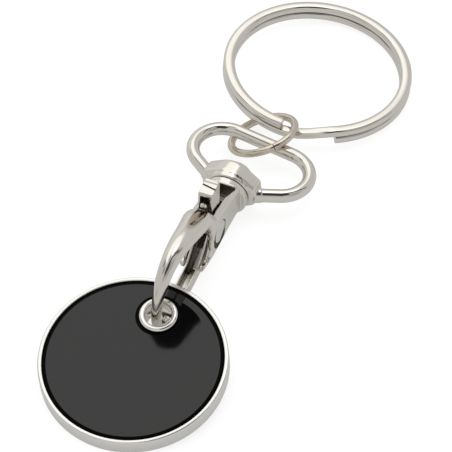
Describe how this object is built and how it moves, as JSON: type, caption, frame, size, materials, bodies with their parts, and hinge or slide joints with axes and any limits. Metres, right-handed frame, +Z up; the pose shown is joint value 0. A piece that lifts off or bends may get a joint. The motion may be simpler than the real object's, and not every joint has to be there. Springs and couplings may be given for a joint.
{
  "type": "coin holder keyring",
  "caption": "Keyring with a trolley token on a sprung trigger hook, joined by a swivel wire loop and a jump ring to a flat wire key ring.",
  "frame": {"origin": "middle of the whole keyring's footprint, on the table", "axes": "+Y along the keyring from the token to the key ring, +Z up from the table, +X to the right seen from above"},
  "size_m": [0.0276, 0.079, 0.0114],
  "materials": {
    "nickel_plate": "bright nickel plating over die-cast metal and steel wire",
    "black_enamel": "glossy black enamel",
    "spring_steel": "bare spring wire"
  },
  "bodies": {
    "clip": {"hook_body": "nickel_plate", "pivot_pin": "nickel_plate", "gate_spring": "spring_steel"},
    "gate": {"gate_lever": "nickel_plate"},
    "eyelet": {"eyelet_barrel": "nickel_plate", "eyelet_washer": "nickel_plate"},
    "token": {"coin_body": "nickel_plate", "enamel_front": "black_enamel", "enamel_back": "black_enamel"},
    "swivel": {"swivel_collar": "nickel_plate", "loop_wire": "nickel_plate"},
    "jump": {"jump_ring": "nickel_plate"},
    "key_ring": {"split_ring": "nickel_plate"}
  },
  "joints": [
    {"name": "gate_pivot", "type": "hinge", "parent": "clip", "child": "gate", "pos_m": [-0.00151, -0.0055, 0.00445], "axis": [-1, 0, 0], "range_deg": [0, 11.5], "stiffness_Nm_per_rad": 0.01, "springref_deg": -17.19, "deforming": ["gate_spring"]},
    {"name": "eyelet_lift", "type": "slide", "parent": "clip", "child": "eyelet", "axis": [0, 0.0995, 0.995], "range_m": [0, 0.00172]},
    {"name": "token_swing", "type": "hinge", "parent": "eyelet", "child": "token", "pos_m": [-0.00151, -0.02125, 0.00402], "axis": [0, -0.1582, 0.9874], "range_deg": [-75, 75]},
    {"name": "swivel_turn", "type": "hinge", "parent": "clip", "child": "swivel", "pos_m": [-0.00151, 0.00307, 0.00385], "axis": [0, 1, 0], "continuous": true},
    {"name": "jump_swing", "type": "hinge", "parent": "swivel", "child": "jump", "pos_m": [-0.00017, 0.01161, 0.00316], "axis": [0.9915, -0.1241, -0.04], "range_deg": [-60, 60]},
    {"name": "ring_swing", "type": "hinge", "parent": "jump", "child": "key_ring", "pos_m": [-0.00102, 0.01544, 0.00243], "axis": [0.9748, -0.2161, -0.0553], "range_deg": [-20, 35]}
  ],
  "couplings": [
    {"joint": "eyelet_lift", "follows": "gate_pivot", "m_per_rad": 0.008569}
  ]
}
